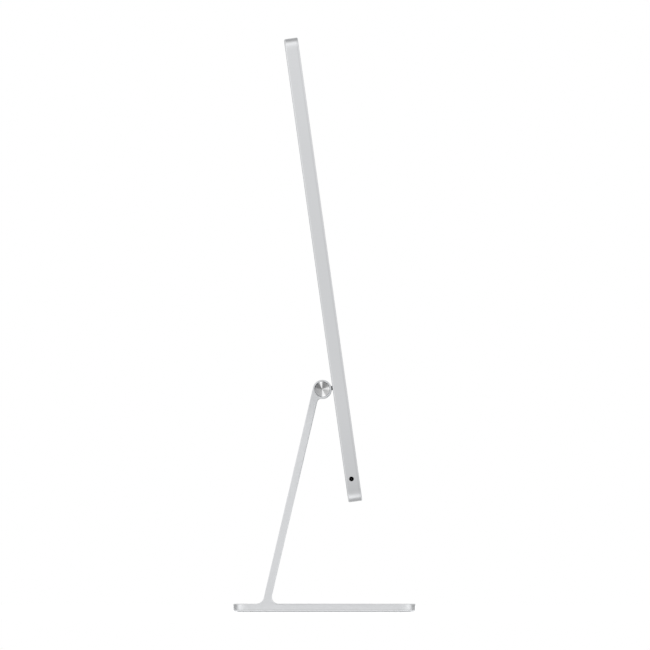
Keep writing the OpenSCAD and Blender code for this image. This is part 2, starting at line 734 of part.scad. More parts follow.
module headphone_jack() color([0.05, 0.05, 0.05]) head() difference() {
    union() {
        box(jack_left, jack_right, jack_y - jack_half_t, jack_y + jack_half_t,
            jack_z - jack_half_h, jack_z + jack_half_h);
        along_x(-273.4, jack_y, jack_z, jack_nose_r, 3);
    }
    along_x(-274, jack_y, jack_z, jack_r, 14.6);
}

module power_inlet() color([0.8, 0.81, 0.82]) head() difference() {
    front = -14.2;
    along_y(0, front, inlet_z, inlet_r + inlet_wall, back_y - gap - front);
    along_y(0, front + 1.5, inlet_z, inlet_r, 6);
    pegs(pin_places, -13.5, 0.72, 2);
}

module power_contacts() color([0.85, 0.7, 0.35]) head() pegs(pin_places, -13.45, 0.66, 0.7);

module power_button() color([0.82, 0.83, 0.84]) head() {
    along_y(button_x, button_front, button_z, button_r, back_y - 0.2 - button_front);
    along_y(button_x, button_front, button_z, button_r + 1, 0.45); // flange
    along_y(button_x, -10.6, button_z, 1.5, 0.71); // stem
}

module button_retainer() color(bracket_grey) head() difference() {
    union() {
        box(button_x - 13, button_x + 13, -11.0, inner_y - gap, button_z - 9.5, button_z + 9.5);
        pegs(retainer_places, -12.15, 1.6, 1.2);
        pegs(retainer_places, -12.9, 0.9, 1.0);
    }
    along_y(button_x, -12, button_z, button_r + 1.6, 4);
}

module power_switch() color([0.2, 0.2, 0.2]) head() {
    difference() {
        box(button_x - 12, button_x + 12, -12.8, -12.2, button_z - 6, button_z + 6);
        pegs(retainer_places, -14, 1.0, 3);
    }
    box(button_x - 3, button_x + 3, -12.21, -11.5, button_z - 3, button_z + 3);
    along_y(button_x, -11.51, button_z, 1.6, 0.36);
}

// ---------- camera, microphones and antennas ----------
module camera_module() color([0.05, 0.05, 0.06]) head() {
    box(-3.4, 3.4, lcd_front + 1.4, lcd_front + 6.2, head_top - 9.9, head_top - 3.1);
    along_y(0, lcd_front + 0.05, head_top - 6.5, 2.1, 1.4);
}

module microphones() color([0.6, 0.5, 0.25]) head() {
    box(-30, 66, -12.1, -11.9, head_top - 8.3, head_top - 4.7);
    for (x = mic_x) box(x - 2, x + 2, -13.2, -12.09, head_top - 8, head_top - 5);
}

module antenna_window() color([0.72, 0.73, 0.74]) head() {
    along_y(0, inner_y - 0.1, window_z, window_r, wall_t + 0.1);
    along_y(0, inner_y - 0.55, window_z, window_r + 2, 0.5);
}

module antennas() color([0.8, 0.65, 0.3]) head()
    for (x = [-14, 14])
        box(x - 9, x + 9, inner_y - 1.3, inner_y - 0.65, window_z - 8, window_z + 8);

// ---------- cables ----------
// Flat runs, as rows of left, right, front, back, bottom, top
module display_cable() color([0.15, 0.15, 0.17]) head() boxes([
    [17, 35, -14.65, -14.05, -41.1, -37.6],
    [17, 35, -14.15, -13.95, -37.8, 22.2],
    [17, 35, -14.15, -12.5, 22.0, 22.2],
    [17, 35, -12.7, -12.5, 22.0, 25.0]]);

module camera_cable() color(flex_brown) head() boxes([
    [-66, -60, -10.2, -10.0, -35, head_top - 12],
    [-66, 3, -10.2, -10.0, head_top - 12, head_top - 6],
    [-3, 3, -11.85, -10.1, head_top - 9, head_top - 6],
    [-66, -60, -14.6, -10.0, -35.2, -35.0],
    [-66, -60, -14.6, -14.4, -43.6, -35.0],
    [-66, -54, -14.6, -14.05, -43.6, -40.4]]);

// Two wires to each speaker: up from the board, across, and down to the box
module speaker_cables() color([0.1, 0.1, 0.1]) head()
    for (side = [-1, 1], k = [0, 1]) {
        wire_r = 0.5;
        y = -13.3;
        shift = (k - 0.5) * 1.5;
        board_x = side * 76 + shift;
        board_z = side > 0 ? -42.3 : -52.3;
        box_x = (side > 0 ? 212 : -158) + side * shift;
        box_z = -35.95;
        top = -34.2 + 1.4 * k;
        translate([board_x, y, board_z]) cylinder(r = wire_r, h = top - board_z);
        translate([box_x, y, box_z]) cylinder(r = wire_r, h = top - box_z);
        for (x = [board_x, box_x]) translate([x, y, top]) sphere(r = wire_r);
        along_x(min(board_x, box_x), y, top, wire_r, abs(box_x - board_x));
    }

module io_cables() color(flex_brown) head() boxes([
    // headphone socket and power switch
    [-266, -260, -10.4, -10.2, jack_z + 3.7, -31],
    [-266, -73.5, -10.4, -10.2, -34, -31],
    [-79, -73.5, -10.4, -10.2, -48, -31],
    [-241, -235, -10.4, -10.2, -47, -31],
    [-241, -235, -13.05, -10.2, -47.2, -47.0],
    [-241, -235, -13.05, -12.85, -60, -47.0],
    // data ports
    [145.5, 150, -15.25, -15.05, -47, -32],
    [46, 150, -15.25, -15.05, -37, -32],
    [46, 58, -15.25, -15.05, -41.1, -32],
    [46, 58, -15.1, -14.05, -41.1, -37.9]]);

// ---------- mesh and screws ----------
module grille_mesh() color([0.1, 0.1, 0.1]) head() for (group = grille) {
    half = group[1] * hole_pitch / 2 + 1.2;
    box(group[0] - half, group[0] + half, back_y - 9.2, back_y - 3.2,
        -drop + side_t + gap, -drop + side_t + 0.35);
}

module board_screws() color(screw_grey) head() {
    screws(board_places, pcb_front - gap, 2.2, 0.9, 1.0, 2.5);
    screws(port_places, port_board_front - gap, 2.2, 0.9, 1.0, 2.5);
}

module fan_screws() color(screw_grey) head()
    screws(fan_places, fan_front - gap, 1.9, 0.6, 0.9, 6.5);

module speaker_screws() color(screw_grey) head()
    screws(speaker_places, -17.1 - gap, 1.9, 0.9, 0.9, 6.3);

stand();
foot_pad();
end_cap(-1);  // hinge_end_cap_left
end_cap(1);  // hinge_end_cap_right
bush(-1);  // hinge_bush_left
bush(1);  // hinge_bush_right
torsion_springs();
friction_washers();
hinge_shaft();
hinge_tongue();
hinge_bracket();
hinge_screws();
rear_housing();
front_glass();
display_adhesive();
lcd_cell();
light_guide();
backlight_tray();
led_strip();
display_driver_board();
logic_board();
processor();
board_chips();
board_shields();
board_connectors();
heat_spreader();
heat_spreader_screws();
heat_pipe();
fin_stack(-1);  // fin_stack_left
fin_stack(1);  // fin_stack_right
fan_housing(-1);  // fan_housing_left
fan_housing(1);  // fan_housing_right
fan_covers();
fan_rotor(-1);  // fan_rotor_left
fan_rotor(1);  // fan_rotor_right
speaker_box(-1);  // speaker_box_left
speaker_box(1);  // speaker_box_right
woofer_cones();
tweeters();
port_board();
usb_c_sockets();
headphone_jack();
power_inlet();
power_contacts();
power_button();
power_switch();
button_retainer();
camera_module();
microphones();
antenna_window();
antennas();
coin_cell();
display_cable();
camera_cable();
speaker_cables();
io_cables();
grille_mesh();
board_screws();
fan_screws();
speaker_screws();
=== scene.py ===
"""An all-in-one computer: a thin aluminium head hinged on a plate stand with a flat foot.

The row frame has +Z up and the screen facing -Y. The head leans back on a hinge along X.
Shapes are worked out in millimetres and put into metres at the end; shaders are in metres.
"""
import json
import math

import bpy
import bmesh
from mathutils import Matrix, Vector


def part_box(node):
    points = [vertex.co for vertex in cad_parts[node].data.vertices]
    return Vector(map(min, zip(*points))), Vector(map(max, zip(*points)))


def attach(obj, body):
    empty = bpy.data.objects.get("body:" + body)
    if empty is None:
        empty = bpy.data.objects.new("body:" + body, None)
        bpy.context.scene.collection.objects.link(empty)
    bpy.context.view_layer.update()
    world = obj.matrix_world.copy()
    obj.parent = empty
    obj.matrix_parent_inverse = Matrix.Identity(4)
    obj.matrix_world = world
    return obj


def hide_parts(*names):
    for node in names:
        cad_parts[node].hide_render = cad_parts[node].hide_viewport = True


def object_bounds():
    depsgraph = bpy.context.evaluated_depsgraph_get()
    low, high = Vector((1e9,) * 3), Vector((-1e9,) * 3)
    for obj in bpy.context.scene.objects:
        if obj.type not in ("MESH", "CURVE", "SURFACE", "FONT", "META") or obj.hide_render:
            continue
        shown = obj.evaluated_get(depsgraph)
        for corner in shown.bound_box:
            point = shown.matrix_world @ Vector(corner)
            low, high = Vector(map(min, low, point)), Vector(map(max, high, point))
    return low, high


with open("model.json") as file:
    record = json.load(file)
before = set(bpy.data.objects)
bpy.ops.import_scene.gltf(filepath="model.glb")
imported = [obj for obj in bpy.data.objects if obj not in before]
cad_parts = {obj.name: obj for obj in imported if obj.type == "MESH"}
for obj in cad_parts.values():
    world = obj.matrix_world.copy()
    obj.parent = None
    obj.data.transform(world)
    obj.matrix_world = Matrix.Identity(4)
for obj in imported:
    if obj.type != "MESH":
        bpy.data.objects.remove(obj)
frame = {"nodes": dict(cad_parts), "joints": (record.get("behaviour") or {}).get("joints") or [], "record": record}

CAD_LO, CAD_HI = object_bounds()
RECORD = frame["record"]
MOUNT = {m["name"]: m for m in RECORD["mounts"]}
JOINT = {j["name"]: j for j in frame["joints"]}
MM = 0.001

# ---------------------------------------------------------------- frames
HINGE = Vector(JOINT["display_tilt"]["pos_m"]) * 1000
OUT = Vector(MOUNT["power_socket"]["axis"])  # out of the back of the head
TILT = math.atan2(-OUT.z, OUT.y)
ARM_AXIS = Vector(MOUNT["arm_cable_hole"]["axis"])
LEAN = math.atan2(ARM_AXIS.z, ARM_AXIS.y)
TILT_COS, TILT_SIN = math.cos(TILT), math.sin(TILT)
LEAN_COS, LEAN_SIN = math.cos(LEAN), math.sin(LEAN)


def head(x, y, z):
    """A point of the head's frame (origin on the hinge axis, +Z up the screen), in the row frame."""
    return Vector((x, HINGE.y + y * TILT_COS + z * TILT_SIN, HINGE.z - y * TILT_SIN + z * TILT_COS))


def unhead(point):
    """The inverse of head()."""
    y, z = point.y - HINGE.y, point.z - HINGE.z
    return Vector((point.x, y * TILT_COS - z * TILT_SIN, y * TILT_SIN + z * TILT_COS))


def arm(down, back, x=0.0):
    """down the arm from the hinge axis, back across it towards the rear."""
    return Vector((x, HINGE.y + down * LEAN_SIN + back * LEAN_COS,
                   HINGE.z - down * LEAN_COS + back * LEAN_SIN))


def head_box(node):
    """Lowest and highest corner of a CAD node in the head's frame, mm."""
    points = [unhead(v.co * 1000) for v in frame["nodes"][node].data.vertices]
    return [Vector([pick(p[i] for p in points) for i in range(3)]) for pick in (min, max)]


def row_box(node):
    """Lowest and highest corner of a CAD node in the row frame, mm."""
    return [v * 1000 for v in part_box(node)]


def mount_at(name):
    return unhead(Vector(MOUNT[name]["pos_m"]) * 1000)


def mount_radius(name):
    return MOUNT[name]["dims"]["r_mm"]


def middle(lo, hi):
    return Vector(((lo.x + hi.x) / 2, 0, (lo.z + hi.z) / 2))


# ---------------------------------------------------------------- head sizes, in its own frame
HEAD_LO, HEAD_HI = head_box("rear_housing")
HEAD_WIDTH, HEAD_HEIGHT = HEAD_HI.x - HEAD_LO.x, HEAD_HI.z - HEAD_LO.z
MID_Z = (HEAD_HI.z + HEAD_LO.z) / 2
BACK_Y, FRONT_Y = HEAD_HI.y, HEAD_LO.y
TOP_Z, BOTTOM_Z = HEAD_HI.z, HEAD_LO.z
CORNER_R = 10.5
BACK_WALL, SIDE_WALL, LIP = 1.0, 2.6, 1.3
FRONT_ROUND, BACK_ROUND = 1.0, 1.4
INNER_Y = BACK_Y - BACK_WALL
LEDGE_Y = head_box("display_adhesive")[1].y
GLASS_LO, GLASS_HI = head_box("front_glass")
WINDOW = middle(*head_box("antenna_window"))
WINDOW_R = 22.0
BUTTON_LO, BUTTON_HI = head_box("power_button")
BUTTON = middle(BUTTON_LO, BUTTON_HI)
BUTTON_R = 6.2
INLET = mount_at("power_socket")
JACK = mount_at("headphone_socket")
PORTS = [mount_at(f"data_port_{i}") for i in (1, 2, 3, 4)]
# width, height, corner radius of a data port's opening, and of its shell inside it
PORT_GAP = 0.1
PORT_OPENING = (3.5, 9.3, 1.74)
PORT_SHELL = (3.5 - 2 * PORT_GAP, 9.3 - 2 * PORT_GAP, 1.74 - PORT_GAP)


# ---------------------------------------------------------------- mesh helpers
def rounded_rect(width, height, radius, segments, inset=0.0):
    """Rounded rectangle moved inwards by inset, with so many segments to a corner."""
    half_w, half_h = width / 2 - radius, height / 2 - radius
    bend = max(radius - inset, 1e-3)
    points = []
    for k, (sx, sy) in enumerate(((1, 1), (-1, 1), (-1, -1), (1, -1))):
        for i in range(segments + 1):
            t = math.radians(90 * k + 90 * i / segments)
            points.append((sx * half_w + bend * math.cos(t), sy * half_h + bend * math.sin(t)))
    return points


def arc(x, y, radius, start, end, segments):
    """Points of an arc from start to end, in degrees."""
    angles = [math.radians(start + (end - start) * i / segments) for i in range(segments + 1)]
    return [(x + radius * math.cos(t), y + radius * math.sin(t)) for t in angles]


def add_rings(bm, rings):
    """Joins rings of equal length with quads and caps both ends."""
    loops = [[bm.verts.new(p) for p in ring] for ring in rings]
    n = len(loops[0])
    for a, b in zip(loops, loops[1:]):
        for i in range(n):
            j = (i + 1) % n
            bm.faces.new((a[i], a[j], b[j], b[i]))
    bm.faces.new(loops[0][::-1])
    bm.faces.new(loops[-1])


def stack(bm, outline, profile, place):
    """Rounded rectangles, outline as in rounded_rect, one for each (inset, along) of the profile."""
    add_rings(bm, [[place(s, u, v) for u, v in rounded_rect(*outline, inset)]
                   for inset, s in profile])


def lathe(bm, profile, place, n, close=False):
    """profile is (along, radius) pairs; place(along, u, v) gives the point. Radius 0 is a pole."""
    rings = []
    for s, r in profile:
        if r <= 1e-9:
            ring = [place(s, 0, 0)]
        else:
            turns = [2 * math.pi * i / n for i in range(n)]
            ring = [place(s, r * math.cos(t), r * math.sin(t)) for t in turns]
        rings.append([bm.verts.new(p) for p in ring])
    for a, b in list(zip(rings, rings[1:])) + ([(rings[-1], rings[0])] if close else []):
        if len(a) == 1 and len(b) == 1:
            continue
        for i in range(n):
            j = (i + 1) % n
            if len(a) == 1:
                bm.faces.new((a[0], b[j], b[i]))
            elif len(b) == 1:
                bm.faces.new((a[i], a[j], b[0]))
            else:
                bm.faces.new((a[i], a[j], b[j], b[i]))
    if not close:
        if len(rings[0]) > 1:
            bm.faces.new(rings[0][::-1])
        if len(rings[-1]) > 1:
            bm.faces.new(rings[-1])


# Placers: each gives the place(along, u, v) that lathe and stack use.
def along_x(x, y, z, sign=1):
    return lambda s, u, v: head(x + sign * s, y + u, z + v)


def along_y(x, y, z):
    return lambda s, u, v: head(x + u, y + s, z + v)


def along_z(x, y, z, sign=1):
    return lambda s, u, v: head(x + u, y + v, z + sign * s)


def along_hinge(x=0, sign=1):
    return lambda s, u, v: Vector((x + sign * s, HINGE.y + u, HINGE.z + v))


def upright(s, u, v):
    """Placer for the foot: along is up in the row frame."""
    return Vector((u, v, s))


def block(bm, x0, x1, y0, y1, z0, z1, bevel=0.0):
    vs = [bm.verts.new(head(x, y, z)) for x in (x0, x1) for y in (y0, y1) for z in (z0, z1)]
    sides = ((0, 1, 3, 2), (4, 6, 7, 5), (0, 4, 5, 1), (2, 3, 7, 6), (0, 2, 6, 4), (1, 5, 7, 3))
    made = [bm.faces.new([vs[i] for i in side]) for side in sides]
    if bevel:
        edges = list({e for f in made for e in f.edges})
        bmesh.ops.bevel(bm, geom=edges, offset=bevel, segments=2, affect="EDGES", profile=0.5)


def bore(bm, place, radius, depth, chamfer, n, flare=1.0):
    """A cutter for a chamfered hole that goes depth below along = 0 and flares out above it."""
    mouth = radius + chamfer
    lathe(bm, [(-depth, radius), (-chamfer, radius), (0, mouth), (flare, mouth + flare)], place, n)


def to_object(bm, name):
    bmesh.ops.recalc_face_normals(bm, faces=bm.faces)
    mesh = bpy.data.meshes.new(name)
    bm.to_mesh(mesh)
    bm.free()
    obj = bpy.data.objects.new(name, mesh)
    bpy.context.scene.collection.objects.link(obj)
    return obj


def boolean(obj, bm, name="cutter", operation="DIFFERENCE"):
    """Cuts bm out of obj, or joins it on."""
    cutter = to_object(bm, name)
    mod = obj.modifiers.new("cut", "BOOLEAN")
    mod.object, mod.operation, mod.solver = cutter, operation, "EXACT"
    bpy.context.view_layer.update()
    depsgraph = bpy.context.evaluated_depsgraph_get()
    mesh = bpy.data.meshes.new_from_object(obj.evaluated_get(depsgraph))
    obj.modifiers.clear()
    old, obj.data = obj.data, mesh
    bpy.data.meshes.remove(old)
    bpy.data.objects.remove(cutter)


def polish(obj, slot, materials, replaces=(), body="head", sharp=34):
    """Cleans a mesh, puts it into metres, marks edges over sharp degrees, gives it its materials, attaches it to
    its body and hides the CAD parts it replaces.
    """
    bm = bmesh.new()
    bm.from_mesh(obj.data)
    bmesh.ops.triangulate(bm, faces=[f for f in bm.faces if len(f.verts) > 4])
    bmesh.ops.dissolve_degenerate(bm, edges=bm.edges, dist=2e-4)
    bmesh.ops.triangulate(bm, faces=[f for f in bm.faces if len(f.verts) > 4])
    for v in bm.verts:
        v.co *= MM
    bmesh.ops.recalc_face_normals(bm, faces=bm.faces)
    for e in bm.edges:
        e.smooth = not (len(e.link_faces) == 2 and e.calc_face_angle(0.0) > math.radians(sharp))
    for f in bm.faces:
        f.smooth = True
    bmesh.ops.delete(bm, geom=[v for v in bm.verts if not v.link_faces], context="VERTS")
    zones = [f.material_index for f in bm.faces]
    bm.to_mesh(obj.data)
    bm.free()
    mod = obj.modifiers.new("normals", "WEIGHTED_NORMAL")
    mod.keep_sharp, mod.weight = True, 80
    obj.data.materials.clear()
    for name in materials:
        obj.data.materials.append(MATERIAL[name])
    for face, zone in zip(obj.data.polygons, zones):
        face.material_index = zone
    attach(obj, body)
    if replaces:
        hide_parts(*replaces)


def turned(name, profile, place, n, *finish, close=False, **options):
    """A lathed piece of its own; the rest goes to polish."""
    bm = bmesh.new()
    lathe(bm, profile, place, n, close)
    polish(to_object(bm, name), *finish, **options)


# ---------------------------------------------------------------- shader helpers
MATERIAL = {}


class Graph:
    """Adds nodes to a tree. Wherever a value goes, an output socket may go instead."""

    def __init__(self, tree, coordinates):
        self.tree = tree
        self.pos = self.node("ShaderNodeTexCoord").outputs[coordinates]

    def feed(self, socket, value):
        if hasattr(value, "links"):
            self.tree.links.new(value, socket)
        else:
            socket.default_value = value

    def node(self, kind, inputs=None, **props):
        n = self.tree.nodes.new(kind)
        for key, value in props.items():
            setattr(n, key, value)
        for key, value in (inputs or {}).items():
            self.feed(n.inputs[key], value)
        return n

    def math(self, operation, *values):
        return self.node("ShaderNodeMath", dict(enumerate(values)), operation=operation).outputs[0]

    def span(self, value, over=(0.3, 0.7), to=(0.0, 1.0), **props):
        """Maps value from one range to another."""
        return self.node("ShaderNodeMapRange", {
            "Value": value, "From Min": over[0], "From Max": over[1],
            "To Min": to[0], "To Max": to[1]}, **props).outputs["Result"]

    def ramp(self, value, stops, mode="EASE", hue=(1, 1, 1)):
        """stops is (position, brightness) pairs."""
        n = self.node("ShaderNodeValToRGB", {0: value})
        n.color_ramp.interpolation = mode
        elements = n.color_ramp.elements
        while len(elements) < len(stops):
            elements.new(0.5)
        for element, (position, level) in zip(elements, stops):
            element.position = position
            element.color = (*(level * h for h in hue), 1)
        return n.outputs[0]

    def mix(self, fac, a, b, mode="MIX"):
        a, b = ((*c, 1.0) if isinstance(c, tuple) else c for c in (a, b))
        return self.node("ShaderNodeMix", {0: fac, 6: a, 7: b},
                         data_type="RGBA", blend_type=mode).outputs[2]

    def xyz(self, vector=None):
        return self.node("ShaderNodeSeparateXYZ", {0: vector or self.pos}).outputs


class Surface(Graph):
    """A material on the Principled shader."""

    def __init__(self, name):
        self.mat = MATERIAL[name] = bpy.data.materials.new(name)
        self.mat.use_nodes = True
        super().__init__(self.mat.node_tree, "Object")
        self.bsdf = self.tree.nodes["Principled BSDF"]

    def put(self, inputs):
        for key, value in inputs.items():
            self.feed(self.bsdf.inputs[key], value)

    def noise(self, scale, detail=2.0, rough=0.5, vector=None):
        return self.node("ShaderNodeTexNoise", {
            "Scale": scale, "Detail": detail, "Roughness": rough,
            "Vector": vector or self.pos}).outputs["Fac"]

    def tint(self, colour, value):
        """colour times a grey value."""
        grey = self.node("ShaderNodeCombineColor", {0: value, 1: value, 2: value})
        return self.mix(1.0, colour, grey.outputs[0], "MULTIPLY")

    def bump(self, height, distance, strength):
        return self.node("ShaderNodeBump", {
            "Strength": strength, "Distance": distance, "Height": height}).outputs["Normal"]

    def offset(self, point):
        """Position measured from a point, metres."""
        return self.node("ShaderNodeVectorMath", {0: self.pos, 1: tuple(point)},
                         operation="SUBTRACT").outputs[0]

    def behind(self, y):
        """Distance towards the back from depth y (mm) in the head's frame, metres."""
        return self.node("ShaderNodeVectorMath", {0: self.offset(head(0, y, 0) * MM), 1: tuple(OUT)},
                         operation="DOT_PRODUCT").outputs["Value"]


# ---------------------------------------------------------------- material kinds
ALUMINIUM = (0.800, 0.808, 0.818)


def anodised(name, painted_bands=None, rim=False):
    """Bead-blasted aluminium: fine grain, faint mottling. The optional (height m, brightness) pairs are painted
    light and shade on faces turned sideways.
    """
    t = Surface(name)
    mottle = t.noise(scale=14, detail=3.0)
    grain = t.noise(scale=2600, rough=0.6)
    c = t.tint(ALUMINIUM, t.span(mottle, to=(0.988, 1.012)))
    c = t.tint(c, t.span(grain, to=(0.985, 1.015)))
    if painted_bands:
        low, high = painted_bands[0][0], painted_bands[-1][0]
        shade = t.ramp(t.span(t.xyz()[2], over=(low, high)),
                       [((z - low) / (high - low), v) for z, v in painted_bands], "LINEAR")
        # only faces turned sideways take the painted light and shade by height
        normal = t.node("ShaderNodeNewGeometry").outputs["Normal"]
        sideways = t.math("ABSOLUTE", t.xyz(normal)[0])
        c = t.mix(t.span(sideways, over=(0.15, 0.45)), c, t.mix(1.0, c, shade, "MULTIPLY"))
    if rim:
        # painted shade: a slightly darker band just behind the front edge
        off = t.math("ABSOLUTE", t.behind(FRONT_Y + 1.1))
        c = t.tint(c, t.span(off, over=(0.0006, 0.0010), to=(0.93, 1.0)))
    t.put({"Base Color": c, "Metallic": 1.0,
           "Roughness": t.span(t.noise(scale=40), to=(0.32, 0.36)),
           "Normal": t.bump(grain, distance=0.00002, strength=0.35)})


# Painted reflection round a turned disc, dark sectors and glints: (degrees, level)
DARK, MID, LIGHT, GLINT = 0.34, 0.57, 0.92, 1.0
PAINTED_FANS = ((0, LIGHT), (12, LIGHT), (32, 0.45), (50, DARK), (80, DARK), (96, GLINT), (108, GLINT),
        (126, DARK - 0.04), (160, DARK - 0.02), (182, MID), (256, MID + 0.05), (276, GLINT),
        (292, GLINT), (308, 0.70), (342, 0.68), (352, 0.80), (360, LIGHT))
CUT_PITCH = 0.00022  # between the concentric cuts, metres


def spun(name, flip):
    """A turned disc: painted reflections and glints in wedges round the hinge axis, a painted glow in the
    brightest glints, and fine concentric cuts.
    """
    t = Surface(name)
    _, y, z = t.xyz(t.offset(HINGE * MM))
    around = t.math("ARCTAN2", z, t.math("MULTIPLY", y, -1.0 if flip else 1.0))
    turn = t.math("FRACT", t.math("ADD", t.math("DIVIDE", around, 2 * math.pi), 1.0))
    painted_fan = t.ramp(turn, [(degrees / 360, v) for degrees, v in PAINTED_FANS])
    squares = t.math("ADD", t.math("POWER", y, 2.0), t.math("POWER", z, 2.0))
    radius = t.math("SQRT", squares)
    cuts = t.math("SINE", t.math("MULTIPLY", radius, 2 * math.pi / CUT_PITCH))
    # the disc's colour is a painted reflection, and its brightest glints glow
    t.put({"Base Color": t.tint(painted_fan, t.span(cuts, over=(-1, 1), to=(0.97, 1.0))),
           "Emission Color": (1, 1, 1, 1),
           "Emission Strength": t.span(painted_fan, over=(0.85, 1.0), to=(0.0, 0.16)),
           "Metallic": 1.0, "Roughness": 0.26,
           "Normal": t.bump(cuts, distance=0.000004, strength=0.5)})


def metal(name, colour, rough, scale=900, stretch=None):
    """Plated, blackened or brushed metal with fine scratches."""
    t = Surface(name)
    vector = t.pos
    if stretch:
        vector = t.node("ShaderNodeMapping", {"Scale": stretch, "Vector": t.pos}).outputs[0]
    n = t.noise(scale=scale, detail=3.0, rough=0.6, vector=vector)
    middle_range = (0.25, 0.75)
    t.put({"Base Color": t.tint(colour, t.span(n, over=middle_range, to=(0.92, 1.06))),
           "Metallic": 1.0,
           "Roughness": t.span(n, over=middle_range, to=(rough - 0.05, rough + 0.06)),
           "Normal": t.bump(n, distance=0.00001, strength=0.4)})


def plastic(name, colour, rough, scale=1500, depth=0.00002, coat=0.0):
    """Moulded plastic with a fine grain."""
    t = Surface(name)
    n = t.noise(scale=scale, rough=0.6)
    t.put({"Base Color": t.tint(colour, t.span(t.noise(scale=60), to=(0.95, 1.05))),
           "Roughness": t.span(n, to=(rough - 0.05, rough + 0.05)),
           "Coat Weight": coat,
           "Normal": t.bump(n, distance=depth, strength=0.5)})


def rubber(name, colour):
    """Moulded pad with a fine pebble."""
    t = Surface(name)
    pebble = t.node("ShaderNodeTexVoronoi", {"Scale": 900, "Vector": t.pos}).outputs["Distance"]
    t.put({"Base Color": t.tint(colour, t.span(pebble, over=(0.0, 0.6), to=(0.92, 1.05))),
           "Roughness": 0.75,
           "Normal": t.bump(pebble, distance=0.00008, strength=0.5)})


def printed_glass(name, colour, rough=0.02, metallic=0.0, sparkle=0.0, painted_sheen=0.0):
    """Polished sheet with a printed layer behind it."""
    t = Surface(name)
    if painted_sheen:
        # painted sheen: a faint glow that grows upwards and towards -X
        x, _, z = t.xyz()
        across = t.math("ADD", t.math("MULTIPLY", x, -0.55), z)
        t.put({"Emission Color": (0.80, 0.88, 1.0, 1),
               "Emission Strength": t.span(across, over=(0.05, 0.62), to=(0.0, painted_sheen)),
               "Specular IOR Level": 0.0})
    dust = t.noise(scale=35, detail=4.0, rough=0.6)
    if sparkle:
        flakes = t.noise(scale=5200, detail=1.0)
        tone = t.span(flakes, over=(0.35, 0.65), to=(1 - sparkle, 1 + sparkle))
    else:
        tone = t.span(dust, to=(0.99, 1.01))
    t.put({"Base Color": t.tint(colour, tone), "Metallic": metallic,
           "Roughness": 0.45 if metallic else 0.3,
           "Coat Weight": 1.0,
           "Coat Roughness": t.span(dust, to=(rough * 0.6, rough * 1.6)),
           "Coat IOR": 1.5})


def board(name, face=None):
    """Solder mask with faint tracks. What lies behind depth face (head's frame) is dark moulding."""
    t = Surface(name)
    turned_pos = t.node("ShaderNodeMapping", {"Rotation": (math.radians(90), 0, 0),
                                              "Vector": t.pos}).outputs[0]
    tracks = t.node("ShaderNodeTexBrick", {
        "Scale": 420, "Mortar Size": 0.08, "Color1": (0.010, 0.065, 0.042, 1),
        "Color2": (0.014, 0.080, 0.052, 1), "Mortar": (0.035, 0.150, 0.090, 1),
        "Vector": turned_pos})
    colour, rough = tracks.outputs["Color"], 0.35
    if face is not None:
        proud = t.span(t.behind(face), over=(0.00001, 0.00004))
        colour = t.mix(proud, colour, (0.030, 0.030, 0.033))
        rough = t.span(proud, over=(0.0, 1.0), to=(0.35, 0.5))
    t.put({"Base Color": colour, "Roughness": rough, "Coat Weight": 0.4,
           "Normal": t.bump(tracks.outputs["Fac"], distance=0.00002, strength=0.6)})
    return t.mat


# ---------------------------------------------------------------- materials
# Painted light and shade on the sides by height, standing in for reflection bands and shade at the rounded edges:
# (z in metres, level)
HEAD_PAINTED_BANDS = ((0.0885, 1.22), (0.0915, 1.14), (0.0935, 0.98), (0.0955, 0.82), (0.0985, 0.84),
               (0.111, 0.92), (0.17, 0.967), (0.31, 0.99), (0.45, 1.06), (0.454, 0.98),
               (0.461, 0.97))
STAND_PAINTED_BANDS = ((0.0, 1.0), (0.0007, 1.0), (0.001, 0.77), (0.0018, 0.77), (0.0024, 0.985),
                (0.03, 1.07), (0.08, 1.10), (0.13, 1.12), (0.155, 1.10), (0.168, 1.01),
                (0.19, 1.02))
anodised("anodised_aluminium")
# the head and stand are lit and shaded copies of the anodised aluminium
anodised("head_aluminium_painted_light", HEAD_PAINTED_BANDS, rim=True)
anodised("stand_aluminium_painted_light", STAND_PAINTED_BANDS)
rubber("pad_rubber", colour=(0.58, 0.585, 0.595))
metal("dark_steel", colour=(0.16, 0.16, 0.17), rough=0.42)
metal("bright_steel", colour=(0.60, 0.60, 0.61), rough=0.30)
metal("friction_alloy", colour=(0.70, 0.52, 0.25), rough=0.38)
plastic("bush_plastic", colour=(0.72, 0.69, 0.58), rough=0.5)
plastic("display_black", colour=(0.012, 0.012, 0.014), rough=0.2, coat=0.4)
plastic("clear_acrylic", colour=(0.80, 0.84, 0.87), rough=0.12, scale=3000, depth=0.00003)
metal("sheet_aluminium", colour=(0.66, 0.67, 0.68), rough=0.36, scale=700, stretch=(1.0, 8.0, 8.0))
plastic("led_white", colour=(0.80, 0.76, 0.58), rough=0.5)
board("circuit_board")
plastic("chip_black", colour=(0.030, 0.030, 0.033), rough=0.5, scale=2500)
metal("copper", colour=(0.72, 0.36, 0.22), rough=0.34)
plastic("light_plastic", colour=(0.52, 0.53, 0.54), rough=0.42)
plastic("cable_jacket", colour=(0.070, 0.055, 0.045), rough=0.5)
printed_glass("glass_white", colour=(0.78, 0.79, 0.80))
printed_glass("glass_chin", colour=(0.56, 0.57, 0.585), metallic=0.35, sparkle=0.04)
printed_glass("glass_screen", colour=(0.0035, 0.0038, 0.0045), rough=0.035, painted_sheen=0.012)
printed_glass("window_gloss", colour=(0.60, 0.61, 0.62), metallic=0.8)
printed_glass("lens", colour=(0.01, 0.012, 0.02), rough=0.01)
metal("gold", colour=(0.83, 0.62, 0.28), rough=0.25)
plastic("socket_black", colour=(0.008, 0.008, 0.009), rough=0.6)

